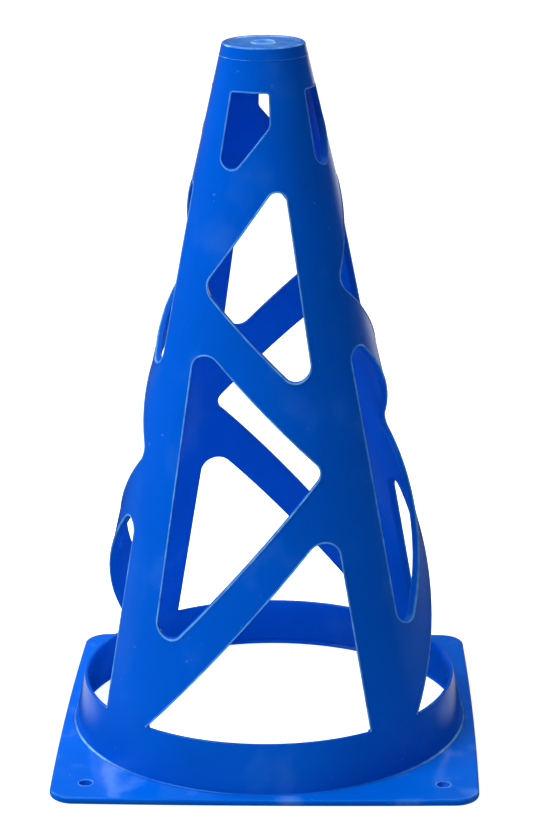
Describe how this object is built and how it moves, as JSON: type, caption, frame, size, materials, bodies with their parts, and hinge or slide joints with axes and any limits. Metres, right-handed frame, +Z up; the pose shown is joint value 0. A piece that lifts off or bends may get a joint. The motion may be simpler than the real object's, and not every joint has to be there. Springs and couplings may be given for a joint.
{
  "type": "sports marker cone",
  "caption": "Collapsible marker cone with an open lattice wall of legs and braces, a windowed crown, a closed top and a square foot plate with peg holes.",
  "frame": {"origin": "middle of the foot plate's underside, on the floor", "axes": "+Z up along the cone's axis, the front face towards -Y"},
  "size_m": [0.138, 0.138, 0.23],
  "materials": {
    "foot_plate": "smooth moulded soft polyethylene, semi-gloss",
    "cone_wall": "smooth moulded soft polyethylene, semi-gloss",
    "cone_top": "smooth moulded soft polyethylene with a gate ring"
  },
  "bodies": {
    "base": {"base_plate": "foot_plate", "collar": "cone_wall", "leg_front_right": "cone_wall", "leg_back_right": "cone_wall", "leg_back_left": "cone_wall", "leg_front_left": "cone_wall", "lower_brace_front": "cone_wall", "lower_brace_right": "cone_wall", "lower_brace_back": "cone_wall", "lower_brace_left": "cone_wall", "upper_brace_front": "cone_wall", "upper_brace_right": "cone_wall", "upper_brace_back": "cone_wall", "upper_brace_left": "cone_wall"},
    "crown": {"crown": "cone_wall", "top_cap": "cone_top"}
  },
  "joints": [
    {"name": "crown_press", "type": "slide", "parent": "base", "child": "crown", "axis": [0, 0, 1], "range_m": [-0.12, 0], "stiffness_N_per_m": 400, "springref_m": 0.005, "deforming": ["leg_front_right", "leg_back_right", "leg_back_left", "leg_front_left", "lower_brace_front", "lower_brace_right", "lower_brace_back", "lower_brace_left", "upper_brace_front", "upper_brace_right", "upper_brace_back", "upper_brace_left"]}
  ]
}
